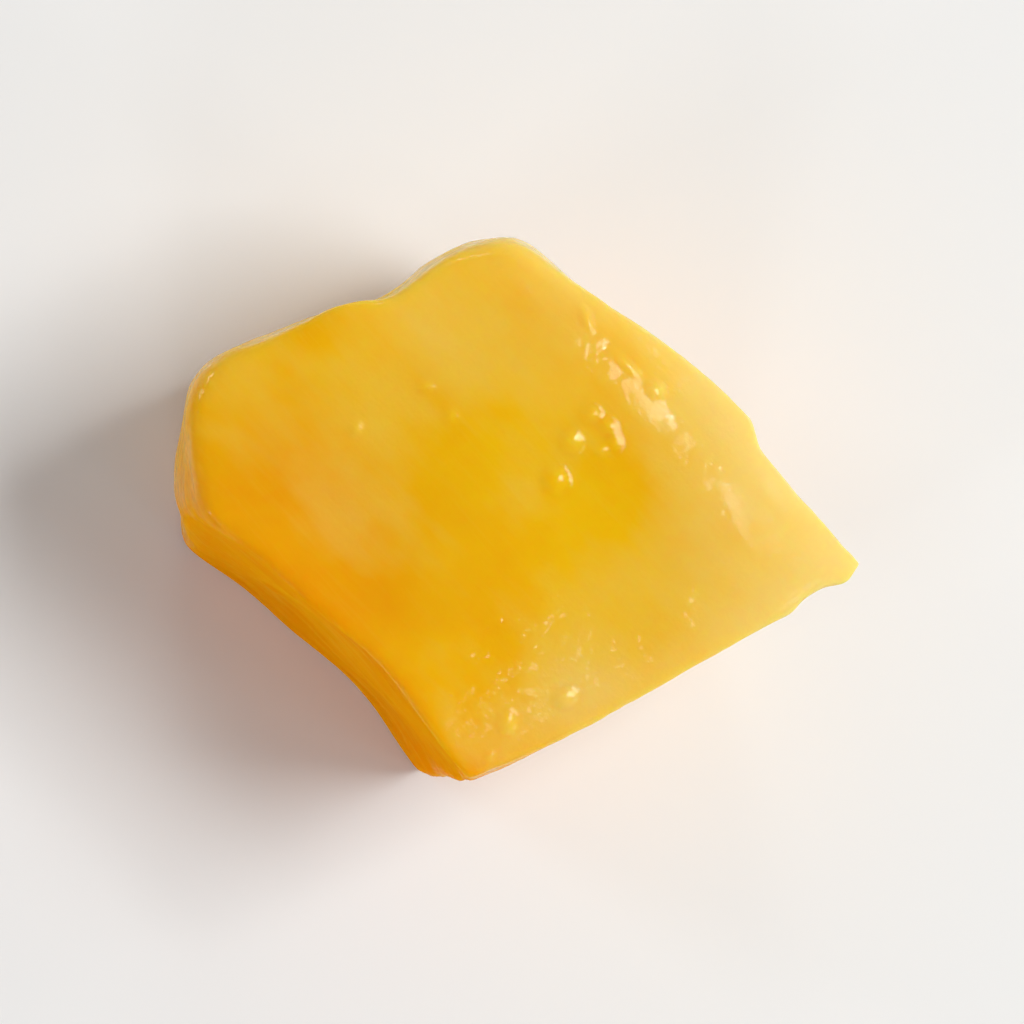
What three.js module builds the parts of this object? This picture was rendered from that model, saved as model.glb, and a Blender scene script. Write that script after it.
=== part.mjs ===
// A mango chunk: one hand-cut piece of peeled, ripe mango flesh, lying on a flat knife cut.
//
// Millimetres. +Z is up, and the chunk rests on z = 0. +X runs along its length to the thin tip.
// The origin is at the middle of the bounding box, at its foot.
//
// The chunk is a block between a flat base, a gently uneven top and five walls:
//   peel    the outside of the fruit, convex, with a bevel that the peeler left along its top
//   tip     a straight knife cut that leans in towards the foot, below the thin tip
//   stone   the hollow side that faced the stone
//   end     a short, blunt end
//   crown   a knife cut with a shallow dip in it
// The surface is where the soft maximum of their distances is zero, so all edges are rounded.

import * as THREE from "three";
import { mergeVertices } from "three/addons/utils/BufferGeometryUtils.js";

// Driving dimensions.
const HEIGHT = 18;
const EDGE_SOFTNESS = 0.22;
const BEVEL_SOFTNESS = 0.45;
const CORE = new THREE.Vector3(-1, 0.5, 9);
const REACH = 30;
const HALVINGS = 40;

// Corners of the block, clockwise from above: where each pair of walls meets, at the height of
// the top face (rim) and of the base (foot). blunt makes the edge between them softer, or crisper
// where it is negative.
const CORNERS = [
  { rim: [-1.8, 12.1], foot: [-2.9, 10.7], blunt: 0.5 },
  { rim: [16.3, -3.3], foot: [10.4, -5.1], blunt: -0.12 },
  { rim: [-3.5, -12.95], foot: [-4.7, -12.4], blunt: -0.08 },
  { rim: [-15.5, -1.4], foot: [-15.6, -2.3], blunt: 0.2 },
  { rim: [-15.5, 5.7], foot: [-14.4, 6.0], blunt: 0.25 },
];
const BLUNT_REACH = 3.5;

// The wall from each corner to the next. bow is how far the middle of the wall stands out along
// its length, belly how far it stands out at half height. A ripple is a shallow wave. A dip is a
// hollow, deepest at a fraction of the wall's length, and a step a fall between two fractions of
// it; both fade towards the foot.
const WALLS = [
  // peel
  {
    bow: 0.75, belly: 0.5, ripple: 0.25, wavelength: 14, phase: 5.9,
    step: { from: 0.6, to: 0.66, depth: 0.65 },
  },
  // tip
  { bow: 0.05, belly: 0.2, ripple: 0.25, wavelength: 22, phase: 1.2 },
  // stone
  { bow: -0.9, belly: -0.3, ripple: 0.1, wavelength: 8, phase: 0.9 },
  // end
  { bow: 0.5, belly: 0.4, ripple: 0.08, wavelength: 6, phase: 1.7 },
  // crown
  {
    bow: -0.15, belly: 0.2, ripple: 0.08, wavelength: 10, phase: 4.0,
    dip: { at: 0.61, depth: 0.8, width: 1.9 },
  },
];
const RIPPLE_SLANT = 0.4;

// Bevels along the top edge: planes that leave the top face on a line between two points and
// slope down to the outside, the peeler's along the peel wall and a shallow one above the tip wall.
const BEVELS = [
  { from: [0.0, 10.4], to: [13.1, -4.0], slope: 32, bow: -0.5 },
  { from: [14.0, -1.9], to: [-3.2, -10.8], slope: 14, bow: 0 },
];

// Flat cuts that take off part of a wall, each a plane through a point. It faces along a heading
// from +X and is pitched down: the peeler's lower stroke, and a second knife cut under the tip.
const CUTS = [
  { at: [5.9, 4.9, 6.8], heading: 40, pitch: -31 },
  { at: [8.6, -6.6, 7.0], heading: -44, pitch: -13 },
];

// The top face: its slopes, a gentle dome, a fall that steepens towards the tip, broad swells of
// the knife and shallow hollows.
const TOP = {
  slopeX: -0.015,
  slopeY: 0.012,
  dome: 0.0018,
  fall: { from: [6.5, 0], heading: -12, rate: 0.02 },
  swells: [
    { heading: 62, wavelength: 17, height: 0.17, phase: 0.4 },
    { heading: -28, wavelength: 11, height: 0.08, phase: 1.9 },
  ],
  hollows: [
    { at: [1.6, 1.0], radius: 4.2, depth: 0.42 },
    { at: [-8.6, 0.6], radius: 4.0, depth: 0.22 },
  ],
};

// A small bite torn out of the tip wall beside the thin tip, taller than it is wide.
const NICK = { at: [13.0, -6.0, 13.6], radius: 1.7, stretch: 4.2, softness: 0.22 };

// Steps of the mesh from a corner to the middle of a wall, and from the rim to the foot.
const HALF_WALL_STEPS = 14;
const HEIGHT_STEPS = 18;

const mix = (a, b, t) => a + (b - a) * t;
const mixPoint = (a, b, t) => a.map((value, axis) => mix(value, b[axis], t));
const { degToRad: radians, smoothstep } = THREE.MathUtils;

// How far (x, y) lies from the origin along a heading.
const travel = (x, y, heading) => x * Math.cos(radians(heading)) + y * Math.sin(radians(heading));

const wave = (distance, wavelength, phase, height) =>
  height * Math.sin(2 * Math.PI * distance / wavelength + phase);

function softMaximum(values, softness) {
  const peak = Math.max(...values);
  const total = values.reduce((sum, value) => sum + Math.exp((value - peak) / softness), 0);
  return peak + softness * Math.log(total);
}

// How far a point lies outside the line from a to b, with the block on the line's right, and how
// far along the line it is, from 0 to 1.
function lineFrame([x, y], a, b) {
  const length = Math.hypot(b[0] - a[0], b[1] - a[1]);
  const tangent = [(b[0] - a[0]) / length, (b[1] - a[1]) / length];
  const offset = [x - a[0], y - a[1]];
  return {
    out: tangent[0] * offset[1] - tangent[1] * offset[0],
    along: (tangent[0] * offset[0] + tangent[1] * offset[1]) / length,
    length,
  };
}

// How soft the edges are around a point: softer beside the blunt corners, crisper beside others.
function edgeSoftness(p) {
  return CORNERS.reduce((softness, { rim, foot, blunt }) => {
    const [x, y] = mixPoint(foot, rim, p.z / HEIGHT);
    const distance = Math.hypot(p.x - x, p.y - y) / BLUNT_REACH;
    return softness + blunt * Math.exp(-distance * distance);
  }, EDGE_SOFTNESS);
}

function wallDistance(index, p) {
  const wall = WALLS[index];
  const start = CORNERS[index];
  const end = CORNERS[(index + 1) % CORNERS.length];
  const rise = p.z / HEIGHT;
  const { out, along, length } = lineFrame([p.x, p.y],
    mixPoint(start.foot, start.rim, rise), mixPoint(end.foot, end.rim, rise));
  let bulge = 4 * (wall.bow * along * (1 - along) + wall.belly * rise * (1 - rise));
  bulge += wave(along * length + RIPPLE_SLANT * p.z, wall.wavelength, wall.phase, wall.ripple);
  if (wall.dip) {
    const reach = (along - wall.dip.at) * length / wall.dip.width;
    bulge -= wall.dip.depth * rise * Math.exp(-reach * reach);
  }
  if (wall.step) {
    bulge -= wall.step.depth * rise * smoothstep(along, wall.step.from, wall.step.to);
  }
  return out - bulge;
}

function topHeight(x, y) {
  let z = HEIGHT + TOP.slopeX * x + TOP.slopeY * y - TOP.dome * (x * x + y * y);
  const [fallX, fallY] = TOP.fall.from;
  z -= TOP.fall.rate * Math.max(0, travel(x - fallX, y - fallY, TOP.fall.heading)) ** 2;
  for (const { heading, wavelength, height, phase } of TOP.swells) {
    z += wave(travel(x, y, heading), wavelength, phase, height);
  }
  for (const hollow of TOP.hollows) {
    const distance = Math.hypot(x - hollow.at[0], y - hollow.at[1]) / hollow.radius;
    z -= hollow.depth * Math.exp(-distance * distance);
  }
  return z;
}

function cutDistance({ at: [x, y, z], heading, pitch }, p) {
  return Math.cos(radians(pitch)) * travel(p.x - x, p.y - y, heading)
    + Math.sin(radians(pitch)) * (p.z - z);
}

function bevelDistance(bevel, p) {
  const { out, along } = lineFrame([p.x, p.y], bevel.from, bevel.to);
  const slope = radians(bevel.slope);
  const drop = (out - 4 * bevel.bow * along * (1 - along)) * Math.tan(slope);
  return (p.z - topHeight(p.x, p.y) + drop) * Math.cos(slope);
}

// The signed distance from the chunk's surface, near enough: negative inside.
function chunkDistance(p) {
  const bevels = BEVELS.map((bevel) => bevelDistance(bevel, p));
  const top = softMaximum([p.z - topHeight(p.x, p.y), ...bevels], BEVEL_SOFTNESS);
  const walls = WALLS.map((wall, index) => wallDistance(index, p));
  const cuts = CUTS.map((cut) => cutDistance(cut, p));
  const block = softMaximum([top, -p.z, ...walls, ...cuts], edgeSoftness(p));
  const [x, y, z] = NICK.at;
  const bite = NICK.radius - Math.hypot(p.x - x, p.y - y, (p.z - z) / NICK.stretch);
  return softMaximum([block, bite], NICK.softness);
}

// The surface point on the ray from the core towards a guide point.
function surfacePoint(guide) {
  const heading = new THREE.Vector3(...guide).sub(CORE).normalize();
  let inside = 0;
  let outside = REACH;
  for (let halving = 0; halving < HALVINGS; halving += 1) {
    const middle = (inside + outside) / 2;
    const point = heading.clone().multiplyScalar(middle).add(CORE);
    if (chunkDistance(point) < 0) inside = middle;
    else outside = middle;
  }
  return heading.multiplyScalar(inside).add(CORE);
}

// A grid of surface points is added as triangles; guide(u, v) gives its guide points, with u and v
// from 0 to 1, and u cross v pointing out of the chunk.
function addGrid(positions, columns, rows, guide) {
  const points = [];
  for (let row = 0; row <= rows; row += 1) {
    for (let column = 0; column <= columns; column += 1) {
      points.push(surfacePoint(guide(column / columns, row / rows)));
    }
  }
  const place = (column, row) => points[row * (columns + 1) + column].toArray();
  for (let row = 0; row < rows; row += 1) {
    for (let column = 0; column < columns; column += 1) {
      const [a, b] = [place(column, row), place(column + 1, row)];
      const [c, d] = [place(column + 1, row + 1), place(column, row + 1)];
      positions.push(...a, ...b, ...c, ...a, ...c, ...d);
    }
  }
}

// Steps get shorter towards the edges, where the surface turns.
const towardsCorner = (t) => t ** 1.5;
const towardsBothRims = (t) => mix(t, t * t * (3 - 2 * t), 0.75);

function addWall(positions, index) {
  const start = CORNERS[index];
  const end = CORNERS[(index + 1) % CORNERS.length];
  addGrid(positions, HEIGHT_STEPS, 2 * HALF_WALL_STEPS, (u, v) => {
    const half = towardsCorner(1 - Math.abs(2 * v - 1)) / 2;
    const along = v < 0.5 ? half : 1 - half;
    const rise = towardsBothRims(u);
    const foot = mixPoint(start.foot, end.foot, along);
    const rim = mixPoint(start.rim, end.rim, along);
    return [...mixPoint(foot, rim, rise), rise * HEIGHT];
  });
}

// One corner's share of the top or the base: from the corner to the middles of its two walls and
// to the middle of the face.
function addFaceShare(positions, index, level, z) {
  const count = CORNERS.length;
  const corner = CORNERS[index][level];
  const after = mixPoint(corner, CORNERS[(index + 1) % count][level], 0.5);
  const before = mixPoint(corner, CORNERS[(index + count - 1) % count][level], 0.5);
  const middle = [CORE.x, CORE.y];
  const [first, second] = level === "rim" ? [before, after] : [after, before];
  addGrid(positions, HALF_WALL_STEPS, HALF_WALL_STEPS, (u, v) => {
    const [s, t] = [towardsCorner(u), towardsCorner(v)];
    return [...mixPoint(mixPoint(corner, first, s), mixPoint(second, middle, s), t), z];
  });
}

function chunkGeometry() {
  const positions = [];
  CORNERS.forEach((corner, index) => {
    addWall(positions, index);
    addFaceShare(positions, index, "rim", HEIGHT);
    addFaceShare(positions, index, "foot", 0);
  });
  const loose = new THREE.BufferGeometry();
  loose.setAttribute("position", new THREE.Float32BufferAttribute(positions, 3));
  const geometry = mergeVertices(loose, 1e-3);
  geometry.computeBoundingBox();
  const { min, max } = geometry.boundingBox;
  geometry.translate(-(min.x + max.x) / 2, -(min.y + max.y) / 2, -min.z);
  geometry.computeVertexNormals();
  return geometry;
}

const flesh = new THREE.MeshStandardMaterial({ color: 0xecb42a, roughness: 0.35, metalness: 0 });
const chunk = new THREE.Mesh(chunkGeometry(), flesh);
chunk.name = "mango_chunk";

const part = new THREE.Group();
part.add(chunk);

export default part;
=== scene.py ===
"""The looks of a mango chunk: moist ripe flesh with a paler peeled side, knife marks and juice.

The fine flesh mesh is solved from the same cuts as the CAD solid, in millimetres, and then placed
in the frame in metres. Low relief is added to it: fibres, the strokes of the peeler and the knife,
frayed edges and small drops of juice.
"""

import math
from functools import partial

import bpy
import numpy as np
from mathutils import Matrix, Vector


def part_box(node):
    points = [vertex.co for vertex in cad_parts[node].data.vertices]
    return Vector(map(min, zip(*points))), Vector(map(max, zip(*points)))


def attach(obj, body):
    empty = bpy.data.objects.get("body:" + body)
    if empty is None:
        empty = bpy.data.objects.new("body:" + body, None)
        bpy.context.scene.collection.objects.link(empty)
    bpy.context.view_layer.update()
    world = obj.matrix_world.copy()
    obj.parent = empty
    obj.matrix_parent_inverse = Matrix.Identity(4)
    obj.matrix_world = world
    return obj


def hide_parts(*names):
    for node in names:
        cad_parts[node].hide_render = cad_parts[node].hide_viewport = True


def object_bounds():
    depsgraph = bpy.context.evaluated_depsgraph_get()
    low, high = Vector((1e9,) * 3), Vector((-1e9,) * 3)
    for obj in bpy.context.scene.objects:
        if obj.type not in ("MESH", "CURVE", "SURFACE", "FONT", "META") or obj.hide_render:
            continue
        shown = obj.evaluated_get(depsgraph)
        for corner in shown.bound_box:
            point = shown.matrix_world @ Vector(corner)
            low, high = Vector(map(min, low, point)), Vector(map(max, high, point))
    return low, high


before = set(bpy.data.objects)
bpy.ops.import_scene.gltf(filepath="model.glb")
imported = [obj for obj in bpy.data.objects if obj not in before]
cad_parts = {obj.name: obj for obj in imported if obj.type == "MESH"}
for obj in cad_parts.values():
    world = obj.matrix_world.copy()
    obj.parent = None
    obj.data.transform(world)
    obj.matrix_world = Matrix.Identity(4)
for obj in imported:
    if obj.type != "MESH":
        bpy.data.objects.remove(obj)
cad_low, cad_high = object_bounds()

MM = 0.001
NODE = "mango_chunk"
SEED = 11

# ---------------------------------------------------------------------------------------------
# The chunk's driving dimensions, in millimetres and degrees, the same as the solid's.

HEIGHT = 18.0
EDGE_SOFTNESS = 0.22
BEVEL_SOFTNESS = 0.45
CORE = np.array([-1.0, 0.5, 9.0])
REACH = 30.0
HALVINGS = 26

# Corners clockwise from above, at the height of the top face (rim) and of the base (foot).
# blunt makes the edge there softer, or crisper where it is negative.
CORNERS = [
    {"rim": (-1.8, 12.1), "foot": (-2.9, 10.7), "blunt": 0.5},
    {"rim": (16.3, -3.3), "foot": (10.4, -5.1), "blunt": -0.12},
    {"rim": (-3.5, -12.95), "foot": (-4.7, -12.4), "blunt": -0.08},
    {"rim": (-15.5, -1.4), "foot": (-15.6, -2.3), "blunt": 0.2},
    {"rim": (-15.5, 5.7), "foot": (-14.4, 6.0), "blunt": 0.25},
]
BLUNT_REACH = 3.5

# The wall from each corner to the next: how far it stands out at mid length (bow) and at half
# height (belly), and its shallow wave. The peel wall has a step, and the crown wall a dip.
PEEL, TIP, STONE, END, CROWN = range(5)
WALLS = {
    PEEL: {"bow": 0.75, "belly": 0.5, "ripple": 0.25, "wavelength": 14.0, "phase": 5.9},
    TIP: {"bow": 0.05, "belly": 0.2, "ripple": 0.25, "wavelength": 22.0, "phase": 1.2},
    STONE: {"bow": -0.9, "belly": -0.3, "ripple": 0.1, "wavelength": 8.0, "phase": 0.9},
    END: {"bow": 0.5, "belly": 0.4, "ripple": 0.08, "wavelength": 6.0, "phase": 1.7},
    CROWN: {"bow": -0.15, "belly": 0.2, "ripple": 0.08, "wavelength": 10.0, "phase": 4.0},
}
STEP = {"from": 0.6, "to": 0.66, "depth": 0.65}
DIP = {"at": 0.61, "depth": 0.8, "width": 1.9}
RIPPLE_SLANT = 0.4

# Bevels along the top edge, and flat cuts that take off part of a wall.
BEVELS = [
    {"from": (0.0, 10.4), "to": (13.1, -4.0), "slope": 32.0, "bow": -0.5},
    {"from": (14.0, -1.9), "to": (-3.2, -10.8), "slope": 14.0, "bow": 0.0},
]
CUTS = [
    {"at": (5.9, 4.9, 6.8), "heading": 40.0, "pitch": -31.0},
    {"at": (8.6, -6.6, 7.0), "heading": -44.0, "pitch": -13.0},
]

# The top face: its slopes and dome, a fall towards the tip, broad swells and shallow hollows.
SLOPE_X, SLOPE_Y, DOME = -0.015, 0.012, 0.0018
FALL = {"from": (6.5, 0.0), "heading": -12.0, "rate": 0.02}
SWELLS = [
    {"heading": 62.0, "wavelength": 17.0, "height": 0.17, "phase": 0.4},
    {"heading": -28.0, "wavelength": 11.0, "height": 0.08, "phase": 1.9},
]
HOLLOWS = [
    {"at": (1.6, 1.0), "radius": 4.2, "depth": 0.42},
    {"at": (-8.6, 0.6), "radius": 4.0, "depth": 0.22},
]
# A small bite out of the tip wall beside the thin tip.
NICK = {"at": (13.0, -6.0, 13.6), "radius": 1.7, "stretch": 4.2, "softness": 0.22}

# ---------------------------------------------------------------------------------------------
# The flesh's detail, in millimetres and degrees.

# The fibres lie along the fruit, level and in line with the peel.
FIBRE_HEADING = -46.0

# Drops of juice on the top face: place, half length and half width, and heading.
TOP_DROPS = [
    {"at": (1.8, 7.7), "size": (0.7, 0.3), "heading": -72},
    {"at": (3.6, 5.6), "size": (0.9, 0.3), "heading": -42},
    {"at": (4.9, 4.5), "size": (0.5, 0.44), "heading": -30},
    {"at": (1.1, 2.2), "size": (0.55, 0.5), "heading": 20},
    {"at": (2.0, 3.4), "size": (0.5, 0.4), "heading": 10},
    {"at": (2.75, 2.9), "size": (0.45, 0.38), "heading": -50},
    {"at": (3.05, 2.15), "size": (0.5, 0.36), "heading": -80},
    {"at": (2.45, 1.85), "size": (0.4, 0.34), "heading": 0},
    {"at": (0.4, 0.5), "size": (0.66, 0.6), "heading": 35},
    {"at": (-4.3, 3.3), "size": (0.45, 0.32), "heading": 80},
    {"at": (-5.4, 4.6), "size": (0.4, 0.3), "heading": 20},
    {"at": (-8.5, 2.8), "size": (0.45, 0.3), "heading": 70},
    {"at": (0.9, -9.2), "size": (0.6, 0.48), "heading": 25},
    {"at": (-1.7, -10.3), "size": (0.56, 0.48), "heading": 85},
    {"at": (-2.5, -11.9), "size": (0.4, 0.3), "heading": 60},
]
# A drop stands this share of its half width high, up to the limit.
DROP_STEEPNESS = 0.38
DROP_RISE_LIMIT = 0.22
DROP_RIM_SOFTNESS = 0.17

# Drops scattered over the walls: a little taller than wide, and lower than those on the top.
# Each lies in a random direction from the core, whose upward part is between the two heights.
WALL_DROPS = 12
WALL_DROP_SIZES = (0.3, 0.6)
WALL_DROP_LENGTH = 1.3
WALL_DROP_RISE = 0.6
WALL_DROP_HEIGHTS = (-0.7, 0.25)

# Kinds of relief, made of noise: its height, the size of its lumps (one number, or three where it
# is drawn out), how many layers it has, each finer than the last, and which noise it is.
# Level and upright drag are the knife's, on the top face and on the upright cuts.
UNEVENNESS = {"height": 0.045, "size": 4.5, "layers": 2, "offset": 1}
LEVEL_DRAG = {"height": 0.003, "size": (13, 0.8, 13), "layers": 2, "offset": 5}
UPRIGHT_DRAG = {"height": 0.02, "size": (13, 13, 1.2), "layers": 2, "offset": 7}
FIBRE_ENDS = {"height": 0.035, "size": (3, 0.8, 0.8), "layers": 2, "offset": 27}
THIN_STRINGS = {"height": 0.05, "size": (7, 0.8, 0.8), "layers": 2, "offset": 9}
THICK_STRINGS = {"height": 0.12, "size": (14, 2.4, 2.4), "layers": 1, "offset": 19}
PEELER_SCRATCHES = {"height": 0.025, "size": (6, 0.7, 0.7), "layers": 2, "offset": 23}
FRAY = {"height": 0.05, "size": 1.5, "layers": 3, "offset": 13}
SLICE_WANDER = {"height": 3, "size": 9, "layers": 1, "offset": 31}

# The hollow strokes that the peeler and the knife leave, one above another.
PEELER_PITCH, PEELER_SLANT, PEELER_DEPTH = 4.6, 0.09, 0.16
SLICE_PITCH, SLICE_SLANT, SLICE_DEPTH = 6.5, 0.45, 0.15
# How far the frayed edges reach.
EDGE_WIDTH = 0.9
# The relief fades out over this height above the base, so that the chunk lies flat.
FOOT_FADE = 0.6

# Spots on the top face that make it paler, purer yellow or more orange. They are partly the
# flesh's own clouding and partly painted light and shade. The pale ones paint light on the lower
# rim, the thin tip and the upper left. The yellow and orange ones paint shade in the middle hollow,
# low on the left, and on the band where the key light falls strongest.
PALE_SPOTS_AND_PAINTED_LIGHT = [
    {"at": (-2.8, -11.2), "radius": 2.6, "strength": 0.1},
    {"at": (1.4, -8.8), "radius": 2.2, "strength": 0.4},
    {"at": (6.6, -2.0), "radius": 2.8, "strength": 0.2},
    {"at": (9.3, 1.0), "radius": 2.4, "strength": 0.14},
    {"at": (-1.0, -0.6), "radius": 1.8, "strength": 0.12},
    {"at": (5.3, 2.8), "radius": 2.0, "strength": 0.14},
    {"at": (-8.6, -0.6), "radius": 3.0, "strength": 0.1},
    {"at": (-5.5, 5.5), "radius": 3.2, "strength": 0.2},
    {"at": (-0.5, 7.0), "radius": 3.0, "strength": 0.12},
]
YELLOW_SPOTS_AND_PAINTED_SHADE = [
    {"at": (-2.7, 2.0), "radius": 2.2, "strength": 0.14},
    {"at": (2.4, -1.0), "radius": 2.4, "strength": 0.35},
    {"at": (5.8, 5.7), "radius": 1.4, "strength": 0.35},
    {"at": (4.1, 7.1), "radius": 1.8, "strength": 0.35},
]
ORANGE_SPOTS_AND_PAINTED_SHADE = [
    {"at": (-2.1, -5.2), "radius": 2.6, "strength": 0.16},
    {"at": (-12.0, 1.5), "radius": 3.5, "strength": 0.34},
    {"at": (4.1, 7.1), "radius": 2.0, "strength": 0.15},
    {"at": (-9.0, -1.5), "radius": 3.4, "strength": 0.28},
    {"at": (-7.4, -4.4), "radius": 2.6, "strength": 0.19},
]

# How pale the flesh is: along the peel (more near the top and towards the tip), at the tip's end
# (from a start along X), and along the tip wall. Along the peel this is partly the flesh's own
# paler colour and partly painted light: the sheen on the band, and the light through the thin flesh
# at the tip. At the tip's end and along the tip wall's top edge it is painted light. A reach is how
# deep a tint goes into the flesh.
PEEL_PALE, PEEL_PALE_NEAR_TOP, PEEL_PALE_AT_TIP, PEEL_PALE_REACH = 0.08, 0.37, 0.9, 3.5
TIP_END_PAINTED_LIGHT, TIP_END_START, TIP_END_LENGTH = 0.25, 3.0, 10.0
TIP_EDGE_PAINTED_LIGHT, TIP_EDGE_REACH = 0.55, 1.8
STONE_LESS_PALE = 0.5
YELLOW_LESS_PALE = 0.6
# How deep in colour it is: beside the stone, on the knife cuts (more towards the stone), low on
# the peeled side, and at the foot. Beside the stone and on the walls this is partly the flesh's own
# deeper colour and partly painted shade. At the foot it is painted shade, where the chunk meets the
# floor.
STONE_DEEP, STONE_REACH, STONE_FADE_ON_TOP = 0.95, 2.5, 0.75
CUT_DEEP, CUT_DEEP_TOWARDS_STONE = 0.27, 0.3
PEELED_DEEP = 0.42
FOOT_PAINTED_SHADE, FOOT_SHADE_REACH = 0.3, 1.2
# How much of the fibres shows on each kind of face, and how clouded and rippled the flesh is.
FIBROUS_TOP, FIBROUS_STONE, FIBROUS_CUT, FIBROUS_PEELED = 0.035, 0.08, 0.13, 0.08
CLOUDED, CLOUDED_MORE_ON_TOP = 0.07, 0.09
RIPPLED_LESS_ON_TOP = 0.6
# How much less wet the stone side is, and the tip end of the top face.
DRY_STONE = 1.6
DRY_TIP = 0.7
# Where a tint comes in, from none to full: along X, by depth below the peel wall, and by height.
TIP_SIDE = (-3.0, 10.0)
DRY_SIDE = (5.0, 9.0)
STONE_SIDE = (2.0, 20.0)
NEAR_TOP = (0.55 * HEIGHT, 0.95 * HEIGHT)

# ---------------------------------------------------------------------------------------------
# The chunk's distance function. Points are arrays of rows (x, y, z).


def travel(x, y, heading):
    """How far (x, y) lies from the origin along a heading."""
    angle = math.radians(heading)
    return x * math.cos(angle) + y * math.sin(angle)


def wave(distance, wavelength, phase, height):
    return height * np.sin(2 * math.pi * distance / wavelength + phase)


def smooth_step(value, low, high):
    t = np.clip((value - low) / (high - low), 0, 1)
    return t * t * (3 - 2 * t)


def soft_maximum(values, softness):
    peak = np.max(values, axis=0)
    total = sum(np.exp((value - peak) / softness) for value in values)
    return peak + softness * np.log(total)


def line_frame(x, y, a, b):
    """Distance outside the line from a to b, the place along it from 0 to 1, and its length."""
    length = np.hypot(b[0] - a[0], b[1] - a[1])
    tangent = ((b[0] - a[0]) / length, (b[1] - a[1]) / length)
    out = tangent[0] * (y - a[1]) - tangent[1] * (x - a[0])
    along = (tangent[0] * (x - a[0]) + tangent[1] * (y - a[1])) / length
    return out, along, length


def corner_at(index, rise):
    """A corner of the block at a share of its height."""
    corner = CORNERS[index % len(CORNERS)]
    return [foot + (rim - foot) * rise for foot, rim in zip(corner["foot"], corner["rim"])]


def edge_softness(points):
    softness = np.full(len(points), EDGE_SOFTNESS)
    for index, corner in enumerate(CORNERS):
        x, y = corner_at(index, points[:, 2] / HEIGHT)
        distance = np.hypot(points[:, 0] - x, points[:, 1] - y) / BLUNT_REACH
        softness = softness + corner["blunt"] * np.exp(-distance**2)
    return softness


def wall_distance(index, points):
    x, y, z = points.T
    wall = WALLS[index]
    rise = z / HEIGHT
    out, along, length = line_frame(x, y, corner_at(index, rise), corner_at(index + 1, rise))
    bulge = 4 * (wall["bow"] * along * (1 - along) + wall["belly"] * rise * (1 - rise))
    ripple_at = along * length + RIPPLE_SLANT * z
    bulge = bulge + wave(ripple_at, wall["wavelength"], wall["phase"], wall["ripple"])
    if index == CROWN:
        reach = (along - DIP["at"]) * length / DIP["width"]
        bulge = bulge - DIP["depth"] * rise * np.exp(-reach**2)
    if index == PEEL:
        bulge = bulge - STEP["depth"] * rise * smooth_step(along, STEP["from"], STEP["to"])
    return out - bulge


def top_height(x, y):
    z = HEIGHT + SLOPE_X * x + SLOPE_Y * y - DOME * (x * x + y * y)
    beyond = travel(x - FALL["from"][0], y - FALL["from"][1], FALL["heading"])
    z = z - FALL["rate"] * np.maximum(0, beyond) ** 2
    for swell in SWELLS:
        place = travel(x, y, swell["heading"])
        z = z + wave(place, swell["wavelength"], swell["phase"], swell["height"])
    for hollow in HOLLOWS:
        distance = np.hypot(x - hollow["at"][0], y - hollow["at"][1]) / hollow["radius"]
        z = z - hollow["depth"] * np.exp(-distance**2)
    return z


def bevel_distance(bevel, points):
    x, y, z = points.T
    out, along, _ = line_frame(x, y, bevel["from"], bevel["to"])
    slope = math.radians(bevel["slope"])
    drop = (out - 4 * bevel["bow"] * along * (1 - along)) * math.tan(slope)
    return (z - top_height(x, y) + drop) * math.cos(slope)


def cut_distance(cut, points):
    x, y, z = (points - np.array(cut["at"])).T
    pitch = math.radians(cut["pitch"])
    return math.cos(pitch) * travel(x, y, cut["heading"]) + math.sin(pitch) * z


def face_distances(points):
    """The distances to the top, the base, the walls and the cuts, one row each."""
    x, y, z = points.T
    bevels = [bevel_distance(bevel, points) for bevel in BEVELS]
    top = soft_maximum([z - top_height(x, y), *bevels], BEVEL_SOFTNESS)
    walls = [wall_distance(index, points) for index in WALLS]
    return np.array([top, -z, *walls, *[cut_distance(cut, points) for cut in CUTS]])


# Rows of face_distances: the top and the base, the walls, and the two flat cuts, which are the
# peeler's lower stroke and a second knife cut.
TOP_ROW = 0
WALL_ROW = {wall: 2 + wall for wall in WALLS}
PEELER_ROW, KNIFE_ROW = 7, 8
PEELED_ROWS = [WALL_ROW[PEEL], PEELER_ROW]
KNIFE_CUT_ROWS = [WALL_ROW[TIP], WALL_ROW[END], WALL_ROW[CROWN], KNIFE_ROW]
SHARE_SOFTNESS = 0.5


def chunk_distance(points):
    block = soft_maximum(face_distances(points), edge_softness(points))
    offset = (points - np.array(NICK["at"])) / (1, 1, NICK["stretch"])
    bite = NICK["radius"] - np.linalg.norm(offset, axis=1)
    return soft_maximum([block, bite], NICK["softness"])


def surface_points(guides):
    """The surface point on the ray from the core towards each guide point."""
    headings = guides - CORE
    headings = headings / np.linalg.norm(headings, axis=1)[:, None]
    inside = np.zeros(len(guides))
    outside = np.full(len(guides), REACH)
    for _ in range(HALVINGS):
        middle = (inside + outside) / 2
        is_inside = chunk_distance(CORE + headings * middle[:, None]) < 0
        inside = np.where(is_inside, middle, inside)
        outside = np.where(is_inside, outside, middle)
    return CORE + headings * inside[:, None]


# ---------------------------------------------------------------------------------------------
# The fine mesh: grids of surface points, welded along the edges of the block. Steps get shorter
# towards the edges, where the surface turns.

HALF_WALL_STEPS = 68
HEIGHT_STEPS = 68
CORNER_CROWDING = 1.12
RIM_CROWDING = 0.6
# Points that round to the same multiple of this become one.
WELD = 5e-4
SHORTEST_NORMAL = 1e-12


def towards_corner(t):
    return t**CORNER_CROWDING


def towards_both_rims(t):
    return t + (t * t * (3 - 2 * t) - t) * RIM_CROWDING


def blend(a, b, t):
    return np.array(a)[None] * (1 - t)[:, None] + np.array(b)[None] * t[:, None]


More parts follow.
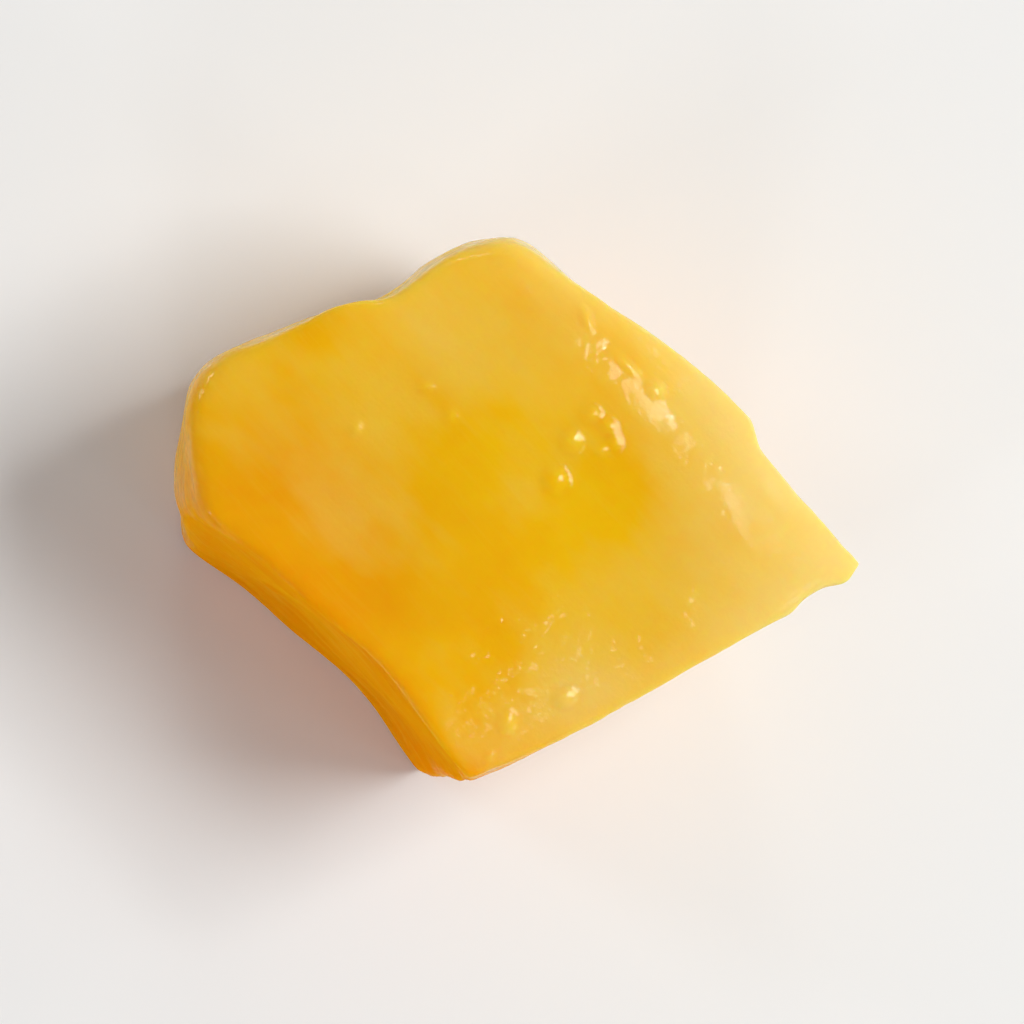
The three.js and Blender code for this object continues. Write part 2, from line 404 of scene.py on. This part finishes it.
def wall_guides(index, u, v):
    """Guide points on the wall from a corner to the next: u is the height and v the way along."""
    start, end = CORNERS[index], CORNERS[(index + 1) % len(CORNERS)]
    half = towards_corner(1 - np.abs(2 * v - 1)) / 2
    along = np.where(v < 0.5, half, 1 - half)
    rise = towards_both_rims(u)[:, None]
    foot = blend(start["foot"], end["foot"], along)
    rim = blend(start["rim"], end["rim"], along)
    return np.column_stack([foot * (1 - rise) + rim * rise, rise * HEIGHT])


def face_guides(index, level, z, u, v):
    """Guide points on one corner's share of the top or the base, as far as the middle."""
    corner = np.array(CORNERS[index][level])
    after = (corner + CORNERS[(index + 1) % len(CORNERS)][level]) / 2
    before = (corner + CORNERS[index - 1][level]) / 2
    first, second = (before, after) if level == "rim" else (after, before)
    s, t = towards_corner(u), towards_corner(v)[:, None]
    flat = blend(corner, first, s) * (1 - t) + blend(second, CORE[:2], s) * t
    return np.column_stack([flat, np.full(len(u), z)])


def grid(columns, rows, guides):
    """Surface points and quads of one patch."""
    row, column = np.meshgrid(np.arange(rows + 1), np.arange(columns + 1), indexing="ij")
    points = surface_points(guides(column.ravel() / columns, row.ravel() / rows))
    low_left = (row[:-1, :-1] * (columns + 1) + column[:-1, :-1]).ravel()
    up = columns + 1
    quads = np.column_stack([low_left, low_left + 1, low_left + up + 1, low_left + up])
    return points, quads


def chunk_patches():
    for index in WALLS:
        yield grid(HEIGHT_STEPS, 2 * HALF_WALL_STEPS, partial(wall_guides, index))
        for level, z in (("rim", HEIGHT), ("foot", 0.0)):
            yield grid(HALF_WALL_STEPS, HALF_WALL_STEPS, partial(face_guides, index, level, z))


def welded_chunk():
    """Points and quads of the whole closed surface."""
    points, quads, count = [], [], 0
    for patch_points, patch_quads in chunk_patches():
        points.append(patch_points)
        quads.append(patch_quads + count)
        count += len(patch_points)
    points, quads = np.concatenate(points), np.concatenate(quads)
    keys = np.round(points / WELD).astype(np.int64)
    _, first, same = np.unique(keys, axis=0, return_index=True, return_inverse=True)
    return points[first], same.ravel()[quads]


def vertex_normals(points, quads):
    a, b, c, d = (points[quads[:, k]] for k in range(4))
    faces = np.cross(c - a, d - b)
    normals = np.zeros_like(points)
    for k in range(4):
        np.add.at(normals, quads[:, k], faces)
    lengths = np.linalg.norm(normals, axis=1)
    return normals / np.maximum(lengths, SHORTEST_NORMAL)[:, None]


# ---------------------------------------------------------------------------------------------
# Relief: noise on a lattice, stretched along the fibres or the knife's way.

TABLE_SIZE = 8192
TABLE = np.random.default_rng(SEED).uniform(-1, 1, TABLE_SIZE)
# Large odd numbers that scatter the lattice's cells over the table.
HASH_X, HASH_Y, HASH_Z, HASH_OFFSET = 73856093, 19349663, 83492791, 2654435


def lattice_noise(points, size, offset):
    """Smooth noise from -1 to 1, with lumps of about the given size (a number or three)."""
    scaled = points / np.asarray(size)
    cell = np.floor(scaled).astype(np.int64)
    part = scaled - cell
    part = part * part * (3 - 2 * part)
    total = np.zeros(len(points))
    for corner in range(8):
        step = np.array([corner & 1, corner >> 1 & 1, corner >> 2 & 1])
        weight = np.prod(np.where(step, part, 1 - part), axis=1)
        x, y, z = (cell + step).T
        key = x * HASH_X ^ y * HASH_Y ^ z * HASH_Z ^ offset * HASH_OFFSET
        total += weight * TABLE[key % TABLE_SIZE]
    return total


def lumps(points, height, size, layers, offset):
    """Noise of a given height, with ever finer and lower layers."""
    total = np.zeros(len(points))
    for layer in range(layers):
        total += lattice_noise(points, np.asarray(size) / 2**layer, offset + layer) / 2**layer
    return height * total


def along_fibres(points):
    """Coordinates along the fibres, across them on the level, and up."""
    x, y, z = points.T
    return np.column_stack([travel(x, y, FIBRE_HEADING), travel(x, y, FIBRE_HEADING + 90), z])


def hollow_stroke(distance, pitch):
    """0 on the ridges between strokes, 1 in the middle of each stroke."""
    return np.abs(np.sin(math.pi * distance / pitch))


def face_shares(distances):
    """How much each point belongs to each face, from 0 to 1."""
    weights = np.exp((distances - distances.max(axis=0)) / SHARE_SOFTNESS)
    return weights / weights.sum(axis=0)


def edge_share(distances):
    """1 on an edge between two faces, falling to 0 within a few millimetres of it."""
    ranked = np.sort(distances, axis=0)
    return np.exp(-(ranked[-1] - ranked[-2]) / EDGE_WIDTH)


def drop_rise(size):
    return min(DROP_STEEPNESS * size, DROP_RISE_LIMIT)


def cap(reach_squared):
    """A drop's profile: a low dome of height 1 that meets the flesh at a reach of 1."""
    return DROP_RIM_SOFTNESS * np.logaddexp(0, (1 - reach_squared) / DROP_RIM_SOFTNESS)


def drop_height(points, shares):
    """How high the drops of juice stand, in millimetres."""
    x, y, _ = points.T
    height = np.zeros(len(points))
    for drop in TOP_DROPS:
        offset_x, offset_y = x - drop["at"][0], y - drop["at"][1]
        along = travel(offset_x, offset_y, drop["heading"]) / drop["size"][0]
        across = travel(offset_x, offset_y, drop["heading"] + 90) / drop["size"][1]
        height += drop_rise(drop["size"][1]) * shares[TOP_ROW] * cap(along**2 + across**2)
    random = np.random.default_rng(SEED)
    for _ in range(WALL_DROPS):
        guide = CORE + [*random.normal(0, 1, 2), random.uniform(*WALL_DROP_HEIGHTS)]
        middle = surface_points(guide[None])[0]
        size = random.uniform(*WALL_DROP_SIZES)
        reach = (points - middle) / (size, size, size * WALL_DROP_LENGTH)
        rise = WALL_DROP_RISE * drop_rise(size) * (1 - shares[TOP_ROW])
        height += rise * cap(np.sum(reach**2, axis=1))
    return height


def relief(points, shares, edges, drops):
    """How far the surface stands out at each point, in millimetres."""
    x, y, z = points.T
    fibres = along_fibres(points)
    cut = shares[KNIFE_CUT_ROWS].sum(axis=0)
    peeled = shares[PEELED_ROWS].sum(axis=0)

    height = lumps(points, **UNEVENNESS) + edges * lumps(points, **FRAY)
    height += shares[TOP_ROW] * lumps(fibres, **LEVEL_DRAG)
    height += cut * (lumps(points, **UPRIGHT_DRAG) + lumps(fibres, **FIBRE_ENDS))
    strings = lumps(fibres, **THIN_STRINGS) + lumps(fibres, **THICK_STRINGS)
    height += shares[WALL_ROW[STONE]] * strings

    stroke = hollow_stroke(z + PEELER_SLANT * fibres[:, 0], PEELER_PITCH)
    height += peeled * (lumps(fibres, **PEELER_SCRATCHES) - PEELER_DEPTH * stroke)
    around = x - y + lumps(points, **SLICE_WANDER)
    height -= cut * SLICE_DEPTH * hollow_stroke(z + SLICE_SLANT * around, SLICE_PITCH)
    return height + drops


# ---------------------------------------------------------------------------------------------
# Tints: numbers on each point, which the material mixes its colour and its gloss by. The colour
# tints hold painted light and shade as well as the flesh's own colour.


def spots_at(points, spots):
    """The sum of round soft spots, each with a place, a radius and a strength."""
    x, y, _ = points.T
    total = np.zeros(len(points))
    for spot in spots:
        reach = np.hypot(x - spot["at"][0], y - spot["at"][1]) / spot["radius"]
        total += spot["strength"] * np.exp(-reach**2)
    return total


def close_to(distances, row, reach):
    """1 on a face, falling inwards with distance from it."""
    return np.exp(-np.maximum(-distances[row], 0) / reach)


def paleness(points, distances, shares, stone, near_top):
    x = points[:, 0]
    top = shares[TOP_ROW]
    towards_tip = smooth_step(x, *TIP_SIDE)
    # Partly the peeled flesh's own paleness and partly painted light: sheen on the band, and light
    # through the thin tip.
    pale = (PEEL_PALE + PEEL_PALE_NEAR_TOP * near_top) * (1 + PEEL_PALE_AT_TIP * towards_tip)
    pale *= close_to(distances, WALL_ROW[PEEL], PEEL_PALE_REACH)
    # Painted light: the tip's end and the top edge along the tip wall are paler, as if lit through the
    # thin flesh.
    pale += TIP_END_PAINTED_LIGHT * near_top * np.clip((x - TIP_END_START) / TIP_END_LENGTH, 0, 1)
    pale += TIP_EDGE_PAINTED_LIGHT * top * close_to(distances, WALL_ROW[TIP], TIP_EDGE_REACH)
    pale -= STONE_LESS_PALE * stone
    # The pale spots are partly painted light, and the yellow ones are partly painted shade.
    spots = spots_at(points, PALE_SPOTS_AND_PAINTED_LIGHT) - YELLOW_LESS_PALE * spots_at(points, YELLOW_SPOTS_AND_PAINTED_SHADE)
    return pale + top * spots


def depth_of_colour(points, distances, shares, stone, near_top):
    towards_stone = smooth_step(-distances[WALL_ROW[PEEL]], *STONE_SIDE)
    cut = shares[KNIFE_CUT_ROWS].sum(axis=0)
    peeled = shares[PEELED_ROWS].sum(axis=0)
    # Beside the stone the deeper colour is partly the flesh's own and partly painted shade; the foot's
    # term is painted shade where the chunk meets the floor.
    depth = STONE_DEEP * stone + FOOT_PAINTED_SHADE * np.exp(-points[:, 2] / FOOT_SHADE_REACH)
    # On the knife cuts and low on the peeled side, the deeper colour is partly the flesh's own and
    # partly painted shade.
    depth += (CUT_DEEP + CUT_DEEP_TOWARDS_STONE * towards_stone) * cut * (1 - stone)
    depth += PEELED_DEEP * peeled * (1 - near_top)
    # The orange spots are partly painted shade.
    return depth + shares[TOP_ROW] * spots_at(points, ORANGE_SPOTS_AND_PAINTED_SHADE)


def fibre_share(shares):
    share = FIBROUS_TOP * shares[TOP_ROW] + FIBROUS_STONE * shares[WALL_ROW[STONE]]
    share += FIBROUS_CUT * shares[KNIFE_CUT_ROWS].sum(axis=0)
    return share + FIBROUS_PEELED * shares[PEELED_ROWS].sum(axis=0)


def gloss(points, shares, drops):
    """Above 0 where juice stands, below 0 where the flesh is dry or fibrous."""
    dry_tip = DRY_TIP * smooth_step(points[:, 0], *DRY_SIDE) * shares[TOP_ROW]
    return drops / DROP_RISE_LIMIT - DRY_STONE * shares[WALL_ROW[STONE]] - dry_tip


def tints(points, distances, shares, drops):
    """Every attribute that the flesh material reads."""
    top = shares[TOP_ROW]
    near_top = smooth_step(points[:, 2], *NEAR_TOP)
    stone = close_to(distances, WALL_ROW[STONE], STONE_REACH) * (1 - STONE_FADE_ON_TOP * top)
    return {
        "pale": paleness(points, distances, shares, stone, near_top),
        "depth": depth_of_colour(points, distances, shares, stone, near_top),
        "fibrous": fibre_share(shares),
        "clouded": CLOUDED + CLOUDED_MORE_ON_TOP * top,
        "rippled": 1 - RIPPLED_LESS_ON_TOP * top,
        "gloss": gloss(points, shares, drops),
    }


# ---------------------------------------------------------------------------------------------
# Materials. Noise scales are in lumps per metre.


class Nodes:
    """A short way to build a node material."""

    # Where the Mix node's colour sockets are.
    MIX_SHARE, MIX_COLOURS, MIX_RESULT = 0, (6, 7), 2

    def __init__(self, name):
        self.material = bpy.data.materials.new(name)
        self.material.use_nodes = True
        self.tree = self.material.node_tree
        self.shader = self.tree.nodes["Principled BSDF"]

    def add(self, kind, **settings):
        node = self.tree.nodes.new(kind)
        for name, value in settings.items():
            setattr(node, name, value)
        return node

    def link(self, source, target):
        self.tree.links.new(source, target)

    def attribute(self, name):
        return self.add("ShaderNodeAttribute", attribute_name=name).outputs["Fac"]

    def math(self, operation, first, second):
        node = self.add("ShaderNodeMath", operation=operation)
        self.link(first, node.inputs[0])
        self.link(second, node.inputs[1])
        return node.outputs[0]

    def range(self, value, low, high, to_low=0.0, to_high=1.0):
        """The value moved from one range to another, and kept within it."""
        node = self.add("ShaderNodeMapRange")
        self.link(value, node.inputs["Value"])
        ends = {"From Min": low, "From Max": high, "To Min": to_low, "To Max": to_high}
        for name, number in ends.items():
            node.inputs[name].default_value = number
        return node.outputs[0]

    def mix(self, share, first, second):
        """Two colours mixed by a share: each is a colour or an output."""
        node = self.add("ShaderNodeMix", data_type="RGBA")
        self.link(share, node.inputs[self.MIX_SHARE])
        for index, colour in zip(self.MIX_COLOURS, (first, second)):
            if isinstance(colour, tuple):
                node.inputs[index].default_value = (*colour, 1.0)
            else:
                self.link(colour, node.inputs[index])
        return node.outputs[self.MIX_RESULT]

    def noise(self, scale, detail=2.0, roughness=0.5, stretch=(1, 1, 1), turn=0, distortion=0):
        """Noise in object space, turned about Z by degrees and stretched by small numbers."""
        place = self.add("ShaderNodeTexCoord").outputs["Object"]
        turned = self.add("ShaderNodeVectorRotate", rotation_type="Z_AXIS")
        turned.inputs["Angle"].default_value = -math.radians(turn)
        self.link(place, turned.inputs["Vector"])
        mapping = self.add("ShaderNodeMapping")
        mapping.inputs["Scale"].default_value = stretch
        self.link(turned.outputs[0], mapping.inputs["Vector"])
        node = self.add("ShaderNodeTexNoise")
        node.inputs["Scale"].default_value = scale
        node.inputs["Detail"].default_value = detail
        node.inputs["Roughness"].default_value = roughness
        node.inputs["Distortion"].default_value = distortion
        self.link(mapping.outputs[0], node.inputs["Vector"])
        return node.outputs["Fac"]

    def bump(self, height, distance, strength=1.0, normal=None):
        """Bump up to a distance in metres high."""
        node = self.add("ShaderNodeBump")
        node.inputs["Strength"].default_value = strength
        node.inputs["Distance"].default_value = distance
        self.link(height, node.inputs["Height"])
        if normal is not None:
            self.link(normal, node.inputs["Normal"])
        return node


def linear(red, green, blue):
    """A colour given as 0 to 255 sRGB, in linear light."""
    def channel(value):
        value = value / 255
        return value / 12.92 if value <= 0.04045 else ((value + 0.055) / 1.055) ** 2.4

    return channel(red), channel(green), channel(blue)


# DEEP is both the flesh's deeper colour and painted shade, and PALE is both its paler colour and
# painted light, as the tints mix them.
FLESH = linear(236, 187, 10)
DEEP = linear(231, 128, 2)
PALE = linear(233, 203, 113)
THREAD = linear(246, 212, 84)
FLOOR = (0.86, 0.86, 0.85)
FLOOR_ROUGHNESS = 0.6

# The material's noises. The first four are drawn out along the fibres. Threads and hairs are the
# bright fibres, which cross at a small angle.
PATCHES = {"scale": 260, "detail": 3.0, "roughness": 0.55, "stretch": (0.6, 1.0, 1.0),
           "turn": FIBRE_HEADING}
STRANDS = {"scale": 1900, "detail": 3.0, "roughness": 0.6, "stretch": (0.12, 1.0, 1.0),
           "turn": FIBRE_HEADING, "distortion": 0.25}
THREADS = {"scale": 2400, "detail": 1.5, "roughness": 0.6, "stretch": (0.08, 1.0, 1.0),
           "turn": FIBRE_HEADING + 4, "distortion": 0.5}
HAIRS = {"scale": 5200, "detail": 1.0, "roughness": 0.5, "stretch": (0.05, 1.0, 1.0),
         "turn": FIBRE_HEADING - 3, "distortion": 0.4}
GRAIN = {"scale": 5200}
WETNESS = {"scale": 420}
RIPPLES = {"scale": 1100}
THREAD_RANGE, HAIR_RANGE = (0.56, 0.7), (0.56, 0.68)
CLOUD_RANGE, CLOUD_SHARE = (0.3, 0.7), (-1.0, 1.0)
STRAND_RANGE, STRAND_PALE = (0.35, 0.7), (-0.02, 0.03)
WET_RANGE = (0.3, 0.72)
STRAND_BUMP, STRAND_STRENGTH = 0.02 * MM, 0.5
GRAIN_BUMP, GRAIN_STRENGTH = 0.015 * MM, 0.6
RIPPLE_BUMP = 0.2 * MM

# The shader's constants. The gloss is all in the coat, which stands for the film of juice.
SHADER = {
    "IOR": 1.38,
    "Specular IOR Level": 0.0,
    "Subsurface Weight": 0.85,
    "Subsurface Radius": (1.0, 0.45, 0.1),
    "Subsurface Scale": 2.5 * MM,
    "Coat Roughness": 0.08,
    "Coat IOR": 1.35,
}
# Wetness runs from dry to soaked, and sets the coat's weight and the flesh's roughness.
WET_TO_ROUGHNESS = {"low": -1.0, "high": 1.0, "to_low": 0.55, "to_high": 0.2}
WET_TO_COAT = {"low": -0.6, "high": 1.0, "to_low": 0.0, "to_high": 0.9}


def flesh_colour(nodes, strands):
    """Flesh, deeper or paler by the tints (partly painted light and shade) and a soft cloud, with
    bright fibres.
    """
    cloud = nodes.range(nodes.noise(**PATCHES), *CLOUD_RANGE, *CLOUD_SHARE)
    cloud = nodes.math("MULTIPLY", cloud, nodes.attribute("clouded"))
    depth = nodes.math("ADD", nodes.attribute("depth"), cloud)
    pale = nodes.math("SUBTRACT", nodes.attribute("pale"), cloud)
    pale = nodes.math("ADD", pale, nodes.range(strands, *STRAND_RANGE, *STRAND_PALE))
    threads = nodes.range(nodes.noise(**THREADS), *THREAD_RANGE)
    hairs = nodes.range(nodes.noise(**HAIRS), *HAIR_RANGE)
    fibres = nodes.math("ADD", threads, hairs)
    fibres = nodes.math("MULTIPLY", fibres, nodes.attribute("fibrous"))
    colour = nodes.mix(nodes.range(depth, 0.0, 1.0), FLESH, DEEP)
    colour = nodes.mix(nodes.range(pale, 0.0, 1.0), colour, PALE)
    return nodes.mix(fibres, colour, THREAD)


def flesh_material():
    nodes = Nodes("mango_flesh")
    inputs = nodes.shader.inputs
    for name, value in SHADER.items():
        inputs[name].default_value = value
    strands = nodes.noise(**STRANDS)
    nodes.link(flesh_colour(nodes, strands), inputs["Base Color"])

    wet = nodes.range(nodes.noise(**WETNESS), *WET_RANGE)
    wet = nodes.math("ADD", wet, nodes.attribute("gloss"))
    nodes.link(nodes.range(wet, **WET_TO_ROUGHNESS), inputs["Roughness"])
    nodes.link(nodes.range(wet, **WET_TO_COAT), inputs["Coat Weight"])

    fine = nodes.bump(strands, STRAND_BUMP, STRAND_STRENGTH)
    grain = nodes.bump(nodes.noise(**GRAIN), GRAIN_BUMP, GRAIN_STRENGTH, fine.outputs[0])
    nodes.link(grain.outputs[0], inputs["Normal"])
    ripples = nodes.bump(nodes.noise(**RIPPLES), RIPPLE_BUMP)
    nodes.link(nodes.attribute("rippled"), ripples.inputs["Strength"])
    nodes.link(ripples.outputs[0], inputs["Coat Normal"])
    return nodes.material


def floor_material():
    nodes = Nodes("pale_floor")
    nodes.shader.inputs["Base Color"].default_value = (*FLOOR, 1.0)
    nodes.shader.inputs["Roughness"].default_value = FLOOR_ROUGHNESS
    return nodes.material


# ---------------------------------------------------------------------------------------------
# The piece.


def mesh_object(name, points, faces, material, values=None):
    """A smooth mesh piece from points in metres, with float attributes on its points."""
    mesh = bpy.data.meshes.new(name)
    mesh.from_pydata(points.tolist(), [], faces.tolist())
    mesh.shade_smooth()
    for key, numbers in (values or {}).items():
        data = mesh.attributes.new(key, "FLOAT", "POINT").data
        data.foreach_set("value", numbers.astype(np.float32))
    mesh.materials.append(material)
    piece = bpy.data.objects.new(name, mesh)
    bpy.context.scene.collection.objects.link(piece)
    return piece


def into_frame(points):
    """Moves and fits points in millimetres into the CAD node's box, in metres."""
    low, high = (np.array(corner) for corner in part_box(NODE))
    have_low, have_high = points.min(0) * MM, points.max(0) * MM
    scale = np.min((high - low) / (have_high - have_low))
    middle = (have_low + have_high) / 2
    placed = (points * MM - middle) * scale + (low + high) / 2
    placed[:, 2] += low[2] - placed[:, 2].min()
    return placed


def make_flesh():
    points, quads = welded_chunk()
    distances = face_distances(points)
    shares, edges = face_shares(distances), edge_share(distances)
    drops = drop_height(points, shares)
    raised_by = relief(points, shares, edges, drops) * np.clip(points[:, 2] / FOOT_FADE, 0, 1)
    raised = points + vertex_normals(points, quads) * raised_by[:, None]
    values = tints(points, distances, shares, drops)
    piece = mesh_object("flesh", into_frame(raised), quads, flesh_material(), values)
    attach(piece, "root")
    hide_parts(NODE)


# ---------------------------------------------------------------------------------------------
# The stage, the light and the camera, in metres and watts.

FLOOR_HALF = 0.6

# The key gives the sheen on the pale band. The drops in the middle of the top face mirror the
# glint light into the camera, and those beside the tip wall mirror the rim light.
KEY = {"place": (0.3, 0.05, 0.465), "size": 0.24, "power": 2.0}
GLINT = {"place": (0.29, 0.18, 0.45), "size": 0.05, "power": 0.2}
RIM = {"place": (0.155, -0.128, 0.52), "size": 0.035, "power": 0.035}
LIGHT_AIM = (0, 0, 0.01)

# A ring of low softboxes, by heading and power, gives the wet walls and edges their glints.
RING = ((30, 0.14), (90, 0.2), (150, 0.26), (210, 0.34), (270, 0.3), (330, 0.18))
RING_RADIUS, RING_HEIGHT, RING_SIZE = 0.47, 0.18, 0.11

# The studio's walls are bright and its ceiling is dim, so the top face isn't veiled.
SKY = {"From Min": 0.0, "From Max": 0.9, "To Min": 0.5, "To Max": 0.12}

# From the chunk to the camera, in millimetres: the camera is taken to have stood straight above
# the middle of the pack, and the chunk lay to one side of it.
TOWARDS_CAMERA = (-45, -22, 790)
CAMERA_DISTANCE = 0.8
SEEN_WIDTH = 0.046
SENSOR_WIDTH = 36.0


def make_floor():
    half = FLOOR_HALF
    corners = np.array([(-half, -half, 0), (half, -half, 0), (half, half, 0), (-half, half, 0)], float)
    floor = mesh_object("floor", corners, np.array([[0, 1, 2, 3]]), floor_material())


def area_light(name, place, size, power):
    """A square light that faces the chunk."""
    data = bpy.data.lights.new(name, "AREA")
    data.size, data.energy = size, power
    light = bpy.data.objects.new(name, data)
    light.location = place
    aim = Vector(LIGHT_AIM) - Vector(place)
    light.rotation_euler = aim.to_track_quat("-Z", "Y").to_euler()
    bpy.context.scene.collection.objects.link(light)


def make_lights():
    area_light("key", **KEY)
    for heading, power in RING:
        angle = math.radians(heading)
        place = (RING_RADIUS * math.cos(angle), RING_RADIUS * math.sin(angle), RING_HEIGHT)
        area_light(f"ring_{heading}", place, RING_SIZE, power)
    area_light("glint", **GLINT)
    area_light("rim", **RIM)


def make_sky():
    world = bpy.data.worlds.new("studio")
    world.use_nodes = True
    tree = world.node_tree
    ray = tree.nodes.new("ShaderNodeTexCoord").outputs["Generated"]
    height = tree.nodes.new("ShaderNodeSeparateXYZ")
    tree.links.new(ray, height.inputs[0])
    fade = tree.nodes.new("ShaderNodeMapRange")
    tree.links.new(height.outputs["Z"], fade.inputs["Value"])
    for name, value in SKY.items():
        fade.inputs[name].default_value = value
    background = tree.nodes["Background"].inputs
    background["Color"].default_value = (1.0, 1.0, 1.0, 1.0)
    tree.links.new(fade.outputs[0], background["Strength"])
    bpy.context.scene.world = world


def make_camera():
    """Almost straight above."""
    middle = (Vector(cad_low) + Vector(cad_high)) / 2
    towards = Vector(TOWARDS_CAMERA).normalized()
    data = bpy.data.cameras.new("camera")
    data.sensor_width = SENSOR_WIDTH
    data.lens = SENSOR_WIDTH * CAMERA_DISTANCE / SEEN_WIDTH
    camera = bpy.data.objects.new("camera", data)
    camera.location = middle + towards * CAMERA_DISTANCE
    right = Vector((0, 1, 0)).cross(towards).normalized()
    camera.rotation_euler = Matrix((right, towards.cross(right), towards)).transposed().to_euler()
    bpy.context.scene.collection.objects.link(camera)
    bpy.context.scene.camera = camera


bpy.context.scene.view_settings.view_transform = "Standard"
make_camera()
make_sky()
make_lights()
make_floor()
make_flesh()
